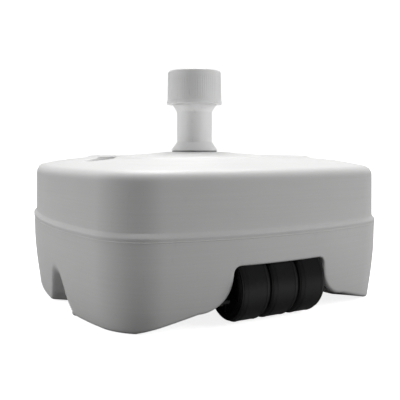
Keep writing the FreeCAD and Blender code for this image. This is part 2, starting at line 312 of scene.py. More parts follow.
class NodeSheet:
    """A node tree that is being wired."""

    def __init__(self, tree: bpy.types.NodeTree) -> None:
        """Keeps the tree."""
        self.tree = tree

    def node(self, kind: str, **settings: object) -> bpy.types.Node:
        """Adds a node.

        Args:
            kind: the node's type name.
            settings: attributes to set on it.

        Returns:
            The node.
        """
        made = self.tree.nodes.new(kind)
        for key, value in settings.items():
            setattr(made, key, value)
        return made

    def join(self, source: bpy.types.NodeSocket, target: bpy.types.NodeSocket) -> None:
        """Wires one socket to another."""
        self.tree.links.new(source, target)

    def maths(self, operation: str, first: object, second: object) -> bpy.types.NodeSocket:
        """Adds a math node.

        Args:
            operation: the node's operation.
            first: a socket or a number.
            second: a socket or a number.

        Returns:
            Its result.
        """
        made = self.node("ShaderNodeMath", operation=operation)
        for socket, value in zip(made.inputs, (first, second)):
            if isinstance(value, bpy.types.NodeSocket):
                self.join(value, socket)
            else:
                socket.default_value = value
        return made.outputs[0]

    def noise(self, vector: bpy.types.NodeSocket, scale: float, detail: float,
              stretch: tuple[float, float, float] = (1, 1, 1)) -> bpy.types.NodeSocket:
        """Adds a noise pattern.

        Args:
            vector: where the pattern is read.
            scale: its scale, per metre.
            detail: octaves of finer noise.
            stretch: scale along each axis.

        Returns:
            The pattern's value.
        """
        mapping = self.node("ShaderNodeMapping")
        mapping.inputs["Scale"].default_value = stretch
        self.join(vector, mapping.inputs["Vector"])
        pattern = self.node("ShaderNodeTexNoise")
        pattern.inputs["Scale"].default_value = scale
        pattern.inputs["Detail"].default_value = detail
        self.join(mapping.outputs[0], pattern.inputs["Vector"])
        return pattern.outputs[0]

    def remap(self, value: bpy.types.NodeSocket, low: float, high: float,
              to_low: float, to_high: float) -> bpy.types.NodeSocket:
        """Maps a range of values to another, clamped.

        Args:
            value: the value to map.
            low: start of its range.
            high: end of its range.
            to_low: result at the start.
            to_high: result at the end.

        Returns:
            The mapped value.
        """
        made = self.node("ShaderNodeMapRange")
        for name, number in (("From Min", low), ("From Max", high), ("To Min", to_low), ("To Max", to_high)):
            made.inputs[name].default_value = number
        self.join(value, made.inputs["Value"])
        return made.outputs[0]

    def tint(self, factor: object, first: object, second: object) -> bpy.types.NodeSocket:
        """Mixes two colours.

        Args:
            factor: a socket or a number from 0 to 1.
            first: socket or colour at 0.
            second: socket or colour at 1.

        Returns:
            The mixed colour.
        """
        made = self.node("ShaderNodeMix", data_type="RGBA")
        for socket, value in ((made.inputs[0], factor), (made.inputs[6], first), (made.inputs[7], second)):
            if isinstance(value, bpy.types.NodeSocket):
                self.join(value, socket)
            else:
                socket.default_value = value
        return made.outputs[2]


def new_group(name: str, inputs: Sequence[tuple[str, str, object]],
              outputs: Sequence[tuple[str, str]]) -> tuple[NodeSheet, bpy.types.Node, bpy.types.Node]:
    """Starts a shader node group.

    Args:
        name: name of the group.
        inputs: (name, socket type, default or None) of each input.
        outputs: (name, socket type) of each output.

    Returns:
        The sheet to wire it on, and its input and output nodes.
    """
    tree = bpy.data.node_groups.new(name, "ShaderNodeTree")
    for label, kind, default in inputs:
        socket = tree.interface.new_socket(label, in_out="INPUT", socket_type=kind)
        if default is not None:
            socket.default_value = default
    for label, kind in outputs:
        tree.interface.new_socket(label, in_out="OUTPUT", socket_type=kind)
    sheet = NodeSheet(tree)
    return sheet, sheet.node("NodeGroupInput"), sheet.node("NodeGroupOutput")


def moulding_group() -> bpy.types.NodeTree:
    """Moulded plastic: mottled colour, flow lines level with the mould and fine grain.

    Returns:
        The group.
    """
    sheet, given, result = new_group(
        "moulded_surface",
        [("Vector", "NodeSocketVector", None), ("Colour", "NodeSocketColor", (0.8, 0.8, 0.8, 1)),
         ("Mottle", "NodeSocketFloat", 0.04), ("Flow", "NodeSocketFloat", 0.02),
         ("Roughness", "NodeSocketFloat", 0.45)],
        [("Colour", "NodeSocketColor"), ("Roughness", "NodeSocketFloat"), ("Height", "NodeSocketFloat")])
    cloud = sheet.noise(given.outputs["Vector"], 11, 4)
    flow = sheet.noise(given.outputs["Vector"], 1, 3, (7, 7, 420))
    grain = sheet.noise(given.outputs["Vector"], 900, 2)
    pores = sheet.noise(given.outputs["Vector"], 260, 3)
    shade = sheet.maths("MULTIPLY", sheet.remap(cloud, 0.3, 0.7, 0, 1), given.outputs["Mottle"])
    lines = sheet.maths("MULTIPLY", sheet.remap(flow, 0.35, 0.65, 0, 1), given.outputs["Flow"])
    dark = sheet.maths("SUBTRACT", 1.0, sheet.maths("ADD", shade, lines))
    scaled = sheet.node("ShaderNodeVectorMath", operation="SCALE")
    sheet.join(given.outputs["Colour"], scaled.inputs[0])
    sheet.join(dark, scaled.inputs["Scale"])
    sheet.join(scaled.outputs[0], result.inputs["Colour"])
    polish = sheet.maths("ADD", given.outputs["Roughness"], sheet.remap(cloud, 0.3, 0.7, -0.05, 0.07))
    sheet.join(polish, result.inputs["Roughness"])
    relief = sheet.maths("ADD", sheet.maths("MULTIPLY", grain, 0.45), sheet.maths("MULTIPLY", pores, 0.55))
    relief = sheet.maths("ADD", relief, sheet.maths("MULTIPLY", flow, 0.7))
    sheet.join(relief, result.inputs["Height"])
    return sheet.tree


def handling_group() -> bpy.types.NodeTree:
    """Handling marks: short scratches and a film of dust near the ground.

    Returns:
        The group.
    """
    sheet, given, result = new_group(
        "handling_marks",
        [("Vector", "NodeSocketVector", None), ("Scratches", "NodeSocketFloat", 0.5),
         ("Dust", "NodeSocketFloat", 0.3), ("Dust Height", "NodeSocketFloat", 0.06)],
        [("Scratches", "NodeSocketFloat"), ("Dust", "NodeSocketFloat")])
    across = sheet.noise(given.outputs["Vector"], 30, 5, (1, 9, 1))
    along = sheet.noise(given.outputs["Vector"], 26, 5, (8, 1, 2))
    fine = sheet.maths("MULTIPLY", sheet.remap(across, 0.60, 0.66, 0, 1),
                       sheet.remap(along, 0.52, 0.62, 0, 1))
    sheet.join(sheet.maths("MULTIPLY", fine, given.outputs["Scratches"]), result.inputs["Scratches"])
    parts = sheet.node("ShaderNodeSeparateXYZ")
    sheet.join(given.outputs["Vector"], parts.inputs[0])
    low = sheet.maths("DIVIDE", parts.outputs["Z"], given.outputs["Dust Height"])
    film = sheet.remap(low, 0, 1, 1, 0)
    patches = sheet.remap(sheet.noise(given.outputs["Vector"], 24, 6), 0.4, 0.7, 0.1, 1)
    dusty = sheet.maths("MULTIPLY", sheet.maths("MULTIPLY", film, patches), given.outputs["Dust"])
    sheet.join(dusty, result.inputs["Dust"])
    return sheet.tree


@dataclass(frozen=True)
class Plastic:
    """A moulded plastic or rubber finish."""

    name: str
    colour: tuple[float, float, float]
    roughness: float
    mottle: float = 0.04
    flow: float = 0.02
    relief: float = 0.00006
    scratches: float = 0.3
    scratch_colour: tuple[float, float, float] = (0.7, 0.7, 0.7)
    dust: float = 0.1
    dust_height: float = 0.06
    dust_colour: tuple[float, float, float] = (0.42, 0.39, 0.34)
    subsurface: float = 0.0
    subsurface_depth: float = 0.004

    def material(self, moulding: bpy.types.NodeTree, handling: bpy.types.NodeTree) -> bpy.types.Material:
        """Makes the material.

        Args:
            moulding: the moulded surface group.
            handling: the handling marks group.

        Returns:
            The material.
        """
        made = bpy.data.materials.new(self.name)
        made.use_nodes = True
        sheet = NodeSheet(made.node_tree)
        shader = made.node_tree.nodes["Principled BSDF"]
        place = sheet.node("ShaderNodeTexCoord").outputs["Object"]
        surface = sheet.node("ShaderNodeGroup", node_tree=moulding)
        surface.inputs["Colour"].default_value = (*self.colour, 1)
        surface.inputs["Mottle"].default_value = self.mottle
        surface.inputs["Flow"].default_value = self.flow
        surface.inputs["Roughness"].default_value = self.roughness
        marks = sheet.node("ShaderNodeGroup", node_tree=handling)
        marks.inputs["Scratches"].default_value = self.scratches
        marks.inputs["Dust"].default_value = self.dust
        marks.inputs["Dust Height"].default_value = self.dust_height
        sheet.join(place, surface.inputs["Vector"])
        sheet.join(place, marks.inputs["Vector"])
        colour = sheet.tint(marks.outputs["Scratches"], surface.outputs["Colour"], (*self.scratch_colour, 1))
        colour = sheet.tint(marks.outputs["Dust"], colour, (*self.dust_colour, 1))
        sheet.join(colour, shader.inputs["Base Color"])
        dulled = sheet.maths("MULTIPLY", marks.outputs["Dust"], 0.4)
        rough = sheet.maths("ADD", surface.outputs["Roughness"], dulled)
        sheet.join(rough, shader.inputs["Roughness"])
        bump = sheet.node("ShaderNodeBump")
        bump.inputs["Strength"].default_value = 0.6
        bump.inputs["Distance"].default_value = self.relief
        sheet.join(surface.outputs["Height"], bump.inputs["Height"])
        sheet.join(bump.outputs["Normal"], shader.inputs["Normal"])
        shader.inputs["Subsurface Weight"].default_value = self.subsurface
        shader.inputs["Subsurface Radius"].default_value = (1, 1, 1)
        shader.inputs["Subsurface Scale"].default_value = self.subsurface_depth
        return made


@dataclass(frozen=True)
class PlatedSteel:
    """Zinc-plated steel, with brushed streaks and a dull bloom."""

    name: str = "zinc_plated_steel"
    bright: tuple[float, float, float] = (0.62, 0.63, 0.65)
    dull: tuple[float, float, float] = (0.36, 0.36, 0.37)

    def material(self, handling: bpy.types.NodeTree) -> bpy.types.Material:
        """Makes the material.

        Args:
            handling: the handling marks group.

        Returns:
            The material.
        """
        made = bpy.data.materials.new(self.name)
        made.use_nodes = True
        sheet = NodeSheet(made.node_tree)
        shader = made.node_tree.nodes["Principled BSDF"]
        place = sheet.node("ShaderNodeTexCoord").outputs["Object"]
        bloom = sheet.remap(sheet.noise(place, 180, 5), 0.38, 0.66, 0, 1)
        brushed = sheet.noise(place, 60, 4, (12, 1, 1))
        marks = sheet.node("ShaderNodeGroup", node_tree=handling)
        marks.inputs["Dust"].default_value = 0.35
        sheet.join(place, marks.inputs["Vector"])
        colour = sheet.tint(bloom, (*self.bright, 1), (*self.dull, 1))
        dusted = sheet.tint(marks.outputs["Dust"], colour, (0.3, 0.27, 0.22, 1))
        sheet.join(dusted, shader.inputs["Base Color"])
        sheet.join(sheet.remap(marks.outputs["Dust"], 0, 1, 1, 0), shader.inputs["Metallic"])
        sheet.join(sheet.maths("ADD", sheet.maths("MULTIPLY", bloom, 0.25), 0.28), shader.inputs["Roughness"])
        bump = sheet.node("ShaderNodeBump")
        bump.inputs["Distance"].default_value = 0.00003
        sheet.join(brushed, bump.inputs["Height"])
        sheet.join(bump.outputs["Normal"], shader.inputs["Normal"])
        return made


class Finishes:
    """Every material of the model, made once."""

    def __init__(self) -> None:
        """Makes the groups and the materials."""
        moulding = moulding_group()
        handling = handling_group()
        plastics = {
            Slot.TANK: Plastic("tank_polyethylene", (0.80, 0.80, 0.795), roughness=0.5, mottle=0.03,
                               flow=0.022, dust=0.06),
            Slot.NECK: Plastic("neck_polypropylene", (0.95, 0.95, 0.95), roughness=0.38, mottle=0.02,
                               flow=0.01, dust=0.0, subsurface=0.35, subsurface_depth=0.008),
            Slot.NUT: Plastic("nut_polypropylene", (0.93, 0.93, 0.93), roughness=0.4, mottle=0.02,
                              flow=0.01, dust=0.0, subsurface=0.35, subsurface_depth=0.006),
            Slot.CAP: Plastic("cap_polypropylene", (0.77, 0.77, 0.77), roughness=0.36, mottle=0.02,
                              flow=0.01),
            Slot.NYLON: Plastic("collet_natural_nylon", (0.70, 0.69, 0.64), roughness=0.33, mottle=0.05,
                                flow=0.0, subsurface=0.1),
            Slot.UNDER: Plastic("underside_fitting_plastic", (0.30, 0.30, 0.31), roughness=0.5, mottle=0.06,
                                flow=0.0, dust=0.5),
            Slot.WHEEL: Plastic("wheel_black_plastic", (0.006, 0.006, 0.0063), roughness=0.40, mottle=0.3,
                                flow=0.1, relief=0.00012, scratches=0.2, scratch_colour=(0.03, 0.03, 0.03),
                                dust=0.04, dust_height=0.03, dust_colour=(0.06, 0.057, 0.05)),
            Slot.BRACKET: Plastic("bracket_black_plastic", (0.018, 0.018, 0.019), roughness=0.5, mottle=0.2,
                                  flow=0.0, relief=0.00012, scratches=0.2, scratch_colour=(0.06, 0.06, 0.06),
                                  dust=0.2, dust_height=0.05, dust_colour=(0.10, 0.095, 0.085)),
            Slot.SEAL: Plastic("seal_rubber_grey", (0.30, 0.30, 0.30), roughness=0.65, mottle=0.1, flow=0.0,
                               relief=0.0001, scratches=0.1, scratch_colour=(0.35, 0.35, 0.35)),
        }
        self.materials = {slot: finish.material(moulding, handling) for slot, finish in plastics.items()}
        self.materials[Slot.STEEL] = PlatedSteel().material(handling)
        screw_finish = PlatedSteel("black_zinc_steel", (0.06, 0.06, 0.065), (0.03, 0.03, 0.032))
        self.screw_steel = screw_finish.material(handling)

    def of(self, slot: Slot) -> bpy.types.Material:
        """The material of a slot."""
        return self.materials[slot]

    def dress_node(self, node: str, material: bpy.types.Material) -> None:
        """Gives a CAD node that stays its finish.

        Args:
            node: name of the node.
            material: its finish.
        """
        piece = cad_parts[node]
        if not piece.material_slots:
            piece.data.materials.append(material)
        for material_slot in piece.material_slots:
            material_slot.material = material
        log.info("%s: keeps its CAD shape", node)


# --- tank ---------------------------------------------------------------------


class PlanShape(Protocol):
    """A closed line about the middle of the base, seen from above."""

    def reach(self, angle: float) -> float:
        """Distance from the middle to the line, in a direction from +X."""


@dataclass(frozen=True)
class RoundedSquare:
    """Square with arcs for corners and slightly bulged sides."""

    half: float
    corner: float
    centre: float

    def inset(self, by: float) -> "RoundedSquare":
        """The same shape, moved inwards."""
        return RoundedSquare(self.half - by, self.corner - by, self.centre)

    def reach(self, angle: float) -> float:
        """Distance from the middle to the line.

        Args:
            angle: direction from +X, in radians.

        Returns:
            The distance.
        """
        quarter = math.pi / 2
        turn = abs((angle + quarter / 2) % quarter - quarter / 2)
        half, corner, centre = self.half, self.corner, self.centre
        excess = corner ** 2 - 2 * centre ** 2 + 2 * centre * half - half ** 2
        side = excess / (2 * (centre + corner - half))
        set_back = half - side
        lean = math.atan2(centre, centre - set_back)
        joint = math.atan2(side * math.sin(lean), set_back + side * math.cos(lean))
        if turn < joint:
            return set_back * math.cos(turn) + math.sqrt(side ** 2 - (set_back * math.sin(turn)) ** 2)
        across = centre * (math.sin(turn) - math.cos(turn))
        return centre * (math.cos(turn) + math.sin(turn)) + math.sqrt(corner ** 2 - across ** 2)


@dataclass(frozen=True)
class Round:
    """Circle about the middle."""

    radius: float

    def reach(self, angle: float) -> float:
        """The radius, in every direction."""
        return self.radius


@dataclass(frozen=True)
class Station:
    """A level of the tank's skin, and the rows of faces up to it from the one before."""

    shape: PlanShape
    height: float
    rows: int = 1


@dataclass(frozen=True)
class SideHollow:
    """Hand hollow in the foot of one side of the tank, which narrows upwards to a point."""

    outward: tuple[float, float]
    along_centre: float
    half_width: float = 37.0
    depth: float = 29.0
    rise: float = 66.0
    narrowing: float = 0.6
    floor_share: float = 0.35
    foot_flare: float = 7.0

    def press(self, place: Vector) -> Vector:
        """Moves a point of the wall in by the hollow's depth there.

        Args:
            place: point of the wall.

        Returns:
            The moved point.
        """
        outward = Vector((*self.outward, 0))
        along = Vector((abs(self.outward[1]), abs(self.outward[0]), 0))
        if place.dot(outward) < self.depth or place.z > self.rise:
            return place
        up = 1 - place.z / self.rise
        half_width = self.half_width * up ** self.narrowing + self.foot_flare * smooth_step(20, 0, place.z)
        across = abs(place.dot(along) - self.along_centre) / (half_width + 4)
        cross_section = smooth_step(1.0, self.floor_share, across)
        return place - outward * self.depth * cross_section * smooth_step(0, 0.75, up)


@dataclass
class RollerMouth:
    """Arched opening in the front wall, with its sides flared out to the feet."""

    half: float = 71.0
    top: float = 80.2
    corner: float = 9.0
    flare_radius: float = 45.0
    flare_height: float = 66.0
    chin_half: float = 186.0
    chin_height: float = 1.0
    top_lip: float = 2.6
    side_lip: float = 5.0

    def lip(self, height: float) -> float:
        """Radius of the rounded lip at a height."""
        return mix(self.side_lip, self.top_lip, smooth_step(self.flare_height - 10, self.top, height))

    @property
    def skin_top(self) -> float:
        """Height where the flat wall ends above the opening."""
        return self.top + self.top_lip

    @property
    def flare_foot(self) -> float:
        """Height where the flared side ends and the rising front edge starts."""
        return self.flare_height - self.flare_radius

    def skin_half(self, height: float) -> float:
        """Half the width between the ends of the flat wall, beside the lips.

        Args:
            height: height above the ground.

        Returns:
            The half-width.
        """
        lip = self.lip(height)
        corner_centre = self.top - self.corner
        flare_centre = self.half + self.flare_radius
        if height >= corner_centre:
            rounding = (self.corner + lip) ** 2 - (height - corner_centre) ** 2
            return self.half - self.corner + math.sqrt(max(rounding, 0.0))
        if height >= self.flare_height:
            return self.half + lip
        if height > self.flare_foot + lip:
            rounding = (self.flare_radius - lip) ** 2 - (self.flare_height - height) ** 2
            return flare_centre - math.sqrt(max(rounding, 0.0))
        slope = (self.chin_half - flare_centre) / (self.flare_foot - self.chin_height)
        return flare_centre + (self.flare_foot + lip - height) * slope


@dataclass
class Tank:
    """Blow-moulded shell: walls with a parting bead, stepped deck, roller mouth, hollows and sunk filler."""

    columns: int = 600
    mouth_share: float = 0.08
    corner_centre: float = 137.0
    corner_radius: float = 92.5
    foot_inset: float = 8.1
    wall_inset: float = 0.7
    wall_curve_top: float = 85.0
    bead_height: float = 120.0
    bead_step: float = 4.5
    shoulder_inset: float = 6.0
    shoulder_radius: float = 15.0
    shoulder_top: float = 201.0
    rim_width: float = 13.0
    underside: float = 20.0
    hub_roof: float = 26.0
    hub_radius: float = 62.0
    hub_rounding: float = 2.0
    sleeve_radius: float = 31.5
    well_roof: float = 104.0
    well_back: float = -146.0
    recess_radius: float = 36.0
    recess_floor: float = 190.0
    recess_rounding: float = 3.0
    spout_radius: float = 19.0
    spout_top: float = 199.0
    spout_wall: float = 3.0
    spout_depth: float = 40.0
    spout_core: float = 2.0
    mouth_wall: float = 3.0

    def __post_init__(self) -> None:
        """Takes the driving sizes from the CAD frame and lays out the rows."""
        box = NodeBox("tank")
        self.outer = RoundedSquare(box.high.x, self.corner_radius, self.corner_centre)
        self.crown = box.high.z
        self.mouth = RollerMouth()
        self.sole = RoundedSquare(196.0, 60.0, 118.0)
        cap = NodeBox("filler_cap")
        self.filler = Vector((cap.middle.x, cap.middle.y, 0))
        self.hollows = [SideHollow((-1, 0), -40.0), SideHollow((1, 0), -40.0), SideHollow((0, 1), 0.0)]
        self.rows: list[tuple[PlanShape, PlanShape, float, float]] = []
        self.mouth_row = 0
        self.deck_row = 0
        self._lay_rows()

    def _wall_inset(self, height: float) -> float:
        """How far the lower wall stands in from the bead at a height."""
        share = max(self.wall_curve_top - height, 0) / (self.wall_curve_top - self.mouth.side_lip)
        return self.wall_inset + (self.foot_inset - self.wall_inset) * share ** 1.5

    def _lower_heights(self) -> list[float]:
        """Heights of the rows from the feet to the top of the roller mouth.

        Returns:
            The heights, closest together where the mouth's sides run out.
        """
        mouth = self.mouth
        foot = mouth.side_lip
        flare_start = mouth.flare_foot + mouth.side_lip
        heights = [mix(foot, flare_start, step / 8) for step in range(8)]
        reach = mouth.flare_radius - mouth.side_lip
        heights += [mouth.flare_height - reach * math.cos(math.pi / 2 * step / 15) for step in range(15)]
        corner_centre = mouth.top - mouth.corner
        heights += [mouth.flare_height, (mouth.flare_height + corner_centre) / 2]
        reach = mouth.corner + mouth.top_lip
        heights += [corner_centre + reach * math.sin(math.pi / 2 * step / 7) for step in range(8)]
        return heights

    def _stations(self) -> list[Station]:
        """The levels of the skin above the roller mouth.

        Returns:
            The stations, upwards and then inwards.
        """
        outer, bead = self.outer, self.bead_height
        stations = [Station(outer.inset(self.wall_inset), bead - 8.0, 8)]
        ridge = [(0.65, -5.6), (0.1, -5.2), (0.1, -4.8), (0.6, -4.4), (0.45, -2.5), (0.05, -1.6), (0.0, -0.6),
                 (0.15, 0.4), (0.5, 1.0)]
        stations += [Station(outer.inset(inset), bead + rise) for inset, rise in ridge]
        slope = [(self.bead_step - 0.5, 5.2, 5), (self.bead_step - 0.1, 5.8, 1), (self.bead_step, 6.6, 1)]
        stations += [Station(outer.inset(inset), bead + rise, rows) for inset, rise, rows in slope]
        centre_inset = self.shoulder_inset + self.shoulder_radius
        centre_height = self.shoulder_top - self.shoulder_radius
        stations.append(Station(outer.inset(self.shoulder_inset), centre_height, 14))
        shoulder_steps = 10
        for step in range(1, shoulder_steps + 1):
            angle = math.radians(78) * step / shoulder_steps
            stations.append(Station(outer.inset(centre_inset - self.shoulder_radius * math.cos(angle)),
                                    centre_height + self.shoulder_radius * math.sin(angle)))
        stations += [Station(outer.inset(40), self.shoulder_top + 4, 6),
                     Station(outer.inset(60), self.shoulder_top + 6.5, 7),
                     Station(RoundedSquare(158, 66, 86), self.crown - 9, 9),
                     Station(RoundedSquare(152, 60, 86), self.crown - 6, 4),
                     Station(Round(118), self.crown - 5.9, 9),
                     Station(Round(44), self.crown, 9),
                     Station(Round(self.sleeve_radius), self.crown, 2)]
        return stations

    def _lay_rows(self) -> None:
        """Lists the rows as two plan shapes, the share between them and the height."""
        for height in self._lower_heights():
            shape = self.outer.inset(self._wall_inset(height))
            self.rows.append((shape, shape, 0.0, height))
        self.mouth_row = len(self.rows) - 1
        last = Station(self.rows[-1][0], self.rows[-1][3])
        for station in self._stations():
            for row in range(1, station.rows + 1):
                share = row / station.rows
                self.rows.append((last.shape, station.shape, share, mix(last.height, station.height, share)))
            last = station
            if station.height < self.shoulder_top - 1:
                self.deck_row = len(self.rows) - 1

    def _reach(self, row: float, angle: float) -> tuple[float, float]:
        """Where the skin is in a direction.

        Args:
            row: row number, which may lie between two rows.
            angle: direction from +X.

        Returns:
            Distance from the middle, and height.
        """
        found = []
        for number in (math.floor(row), min(math.floor(row) + 1, len(self.rows) - 1)):
            first, second, share, height = self.rows[number]
            found.append((mix(first.reach(angle), second.reach(angle), share), height))
        part = row - math.floor(row)
        return mix(found[0][0], found[1][0], part), mix(found[0][1], found[1][1], part)

    def _mouth_turn(self, row: int) -> float:
        """Angle from the front to the end of the flat wall beside the mouth.

        Args:
            row: row number.

        Returns:
            The angle in radians.
        """
        shape, _, _, height = self.rows[min(row, self.mouth_row)]
        half = self.mouth.skin_half(height)
        low, high = 0.0, math.pi / 3
        for _ in range(SEARCH_STEPS):
            turn = (low + high) / 2
            if shape.reach(turn) * math.sin(turn) < half:
                low = turn
            else:
                high = turn
        return (low + high) / 2

    def _skin_grid(self) -> BMesh:
        """Makes the skin from one grid, wrapped round the tank, with the roller mouth left open.

        Returns:
            The skin, open at the mouth, below and at the neck.
        """
        bm = bmesh.new()
        last_row = len(self.rows) - 1
        bmesh.ops.create_grid(bm, x_segments=self.columns, y_segments=last_row, size=1)
        gap = [face for face in bm.faces
               if abs(face.calc_center_median().x) < self.mouth_share
               and (face.calc_center_median().y + 1) / 2 * last_row < self.mouth_row]
        bmesh.ops.delete(bm, geom=gap, context="FACES")
        turns = [self._mouth_turn(row) for row in range(last_row + 1)]
        seam = []
        for vert in bm.verts:
            column = vert.co.x
            row = round((vert.co.y + 1) / 2 * last_row)
            mouth_turn = turns[row]
            if abs(column) <= self.mouth_share:
                turn = mouth_turn * column / self.mouth_share
            else:
                beyond = (abs(column) - self.mouth_share) / (1 - self.mouth_share)
                turn = math.copysign(mix(mouth_turn, math.pi, beyond), column)
            if abs(column) > 1 - 1e-6:
                seam.append(vert)
            angle = turn - math.pi / 2
            distance, height = self._reach(row, angle)
            place = Vector((distance * math.cos(angle), distance * math.sin(angle), height))
            for hollow in self.hollows:
                place = hollow.press(place)
            vert.co = place
        bmesh.ops.remove_doubles(bm, verts=seam, dist=0.01)
        bm.normal_update()
        return bm

    def _round_under(self, bm: BMesh) -> None:
        """Rounds the lips of the mouth and feet, then closes the well, the underside and the sleeve.

        Args:
            bm: the skin, which is open below.
        """
        edge_verts = [vert for vert in bm.verts if vert.is_boundary and vert.co.z < self.mouth.skin_top + 1]
        start = min(edge_verts, key=lambda vert: (abs(vert.co.x), -vert.co.y))
        loop = open_loop(start)
        frames = self._lip_frames(loop)
        for step in range(1, ROUNDING_STEPS + 1):
            angle = math.pi / 2 * step / ROUNDING_STEPS
            places = [place + hole * lip * math.sin(angle) - normal * lip * (1 - math.cos(angle))
                      for place, normal, hole, lip in frames]
            for place in places:
                place.z = max(place.z, 0.0)
            loop = grown_loop(bm, loop, places)
        rims = [self._rim_place(vert.co) for vert in loop]
        loop = grown_loop(bm, loop, rims)
        backs = [self._well_place(place) for place in rims]
        loop = grown_loop(bm, loop, backs)
        floor = [Vector((place.x, place.y, self.underside)) for place in backs]
        loop = grown_loop(bm, loop, floor)
        rounding = self.hub_rounding
        for radius, height in ((self.hub_radius + rounding, self.underside),
                               (self.hub_radius, self.underside + rounding),
                               (self.hub_radius, self.hub_roof), (self.sleeve_radius, self.hub_roof)):
            places = [Vector((*(place.xy.normalized() * radius), height)) for place in floor]
            loop = grown_loop(bm, loop, places)
        bmesh.ops.remove_doubles(bm, verts=bm.verts, dist=0.02)
        sleeve = [edge for edge in bm.edges if edge.is_boundary]
        bmesh.ops.bridge_loops(bm, edges=sleeve)

    def _lip_frames(self, loop: Sequence[BMVert]) -> list[tuple[Vector, Vector, Vector, float]]:
        """Directions that the lip is rounded in, all along the open edge.

        Args:
            loop: the open edge, from a vertex on the middle line.

        Returns:
            Place, direction out of the wall, direction into the opening and lip radius, for each vertex.
        """
        normals = []
        for vert in loop:
            normal = vert.normal.copy()
            if normal.xy.dot(vert.co.xy) < 0:
                normal.negate()
            normals.append(normal)
        count = len(loop)
        frames = []
        for index, vert in enumerate(loop):
            tangent = (loop[(index + 1) % count].co - loop[index - 1].co).normalized()
            near = [normals[(index + step) % count] for step in (-2, -1, 0, 1, 2)]
            normal = sum(near, Vector()).normalized()
            hole = tangent.cross(normal).normalized()
            frames.append((vert.co.copy(), normal, hole, self.mouth.lip(vert.co.z)))
        # On the middle line, the lip rounds downwards.
        if frames[0][2].z > 0:
            frames = [(place, normal, -hole, lip) for place, normal, hole, lip in frames]
        return frames

    def _rim_place(self, lip: Vector) -> Vector:
        """Where the skin goes behind the lip: across the foot's sole, or up behind the mouth's top edge.

        Args:
            lip: inner edge of the lip.

        Returns:
            The place.
        """
        if self._in_mouth(lip):
            lift = smooth_step(self.mouth.flare_height - 4, self.mouth.top - 3, lip.z)
            return Vector((lip.x, lip.y + self.mouth_wall, mix(lip.z, self.well_roof, lift)))
        spoke = lip.xy.normalized()
        reach = min(self.sole.reach(math.atan2(spoke.y, spoke.x)), lip.xy.length - self.rim_width)
        return Vector((*(spoke * reach), lip.z))

    def _in_mouth(self, place: Vector) -> bool:
        """Whether a place on the lip is beside or above the roller, and not on a foot."""
        return place.y < self.well_back and abs(place.x) < self.mouth.half + self.mouth.flare_radius + 0.5

    def _well_place(self, rim: Vector) -> Vector:
        """Where the skin goes from the rim: back through the wheel well, or up to the raised sole.

        Args:
            rim: place on the rim.

        Returns:
            The place.
        """
        if self._in_mouth(rim):
            return Vector((rim.x, self.well_back, max(rim.z, self.underside)))
        return Vector((rim.x, rim.y, self.underside))

    def _deck_height(self, x: float, y: float) -> float:
        """Height of the deck at a place.

        Args:
            x: place across.
            y: place along.

        Returns:
            The height.
        """
        angle, distance = math.atan2(y, x), math.hypot(x, y)
        low, high = float(self.deck_row), float(len(self.rows) - 1)
        for _ in range(SEARCH_STEPS):
            row = (low + high) / 2
            if self._reach(row, angle)[0] > distance:
                low = row
            else:
                high = row
        return self._reach(low, angle)[1]

    def _sink_filler(self, bm: BMesh) -> None:
        """Sinks the filler pocket into the deck, with the spout standing in it.

        Args:
            bm: the closed skin.
        """
        mouth_radius = self.recess_radius + self.recess_rounding
        inside = [face for face in bm.faces if face.calc_center_median().z > self.recess_floor
                  and (face.calc_center_median() - self.filler).xy.length < mouth_radius + 0.8]
        bmesh.ops.delete(bm, geom=inside, context="FACES")
        start = next(vert for vert in bm.verts if vert.is_boundary and vert.co.z > self.recess_floor)
        loop = open_loop(start)
        spokes = [(vert.co - self.filler).xy.normalized() for vert in loop]
        heights = []
        for vert, spoke in zip(loop, spokes):
            place = self.filler.xy + spoke * mouth_radius
            vert.co = (*place, self._deck_height(*place))
            heights.append(vert.co.z)
        rounding = self.recess_rounding
        for step in range(1, ROUNDING_STEPS + 1):
            angle = math.pi / 2 * step / ROUNDING_STEPS
            reach = mouth_radius - rounding * math.sin(angle)
            drop = rounding * (1 - math.cos(angle))
            places = [Vector((*(self.filler.xy + spoke * reach), height - drop))
                      for spoke, height in zip(spokes, heights)]
            loop = grown_loop(bm, loop, places)
        floor, spout = self.recess_floor, self.spout_radius
        bore, bottom = spout - self.spout_wall, floor - self.spout_depth
        profile = rounded_line([(self.recess_radius, floor + rounding + 1, 0),
                                (self.recess_radius, floor, rounding), (spout, floor, 1.5),
                                (spout, self.spout_top, 0.8), (bore, self.spout_top, 0.8),
                                (bore, bottom, 0), (self.spout_core, bottom, 0)])
        for point in profile:
            places = [Vector((*(self.filler.xy + spoke * point.x), point.z)) for spoke in spokes]
            loop = grown_loop(bm, loop, places)
        bmesh.ops.contextual_create(bm, geom=[bm.edges.get(pair) for pair in zip(loop, [*loop[1:], loop[0]])])

    def _soften_deck(self, bm: BMesh) -> None:
        """Takes the hard line off the step of the raised middle of the deck."""
        soft = [vert for vert in bm.verts
                if self.shoulder_top + 2 < vert.co.z < self.crown - 3 and vert.co.xy.length > 60]
        for _ in range(3):
            bmesh.ops.smooth_vert(bm, verts=soft, factor=0.5,
                                  use_axis_x=False, use_axis_y=False, use_axis_z=True)

    def build(self, finishes: Finishes) -> None:
        """Builds and dresses the tank.

        Args:
            finishes: the materials.
        """
        bm = self._skin_grid()
        self._round_under(bm)
        self._soften_deck(bm)
        self._sink_filler(bm)
        bmesh.ops.recalc_face_normals(bm, faces=bm.faces)
        finished(bm, "tank_shell", finishes.of(Slot.TANK), Body.BASE, ["tank"], 40)


# --- neck ---------------------------------------------------------------------


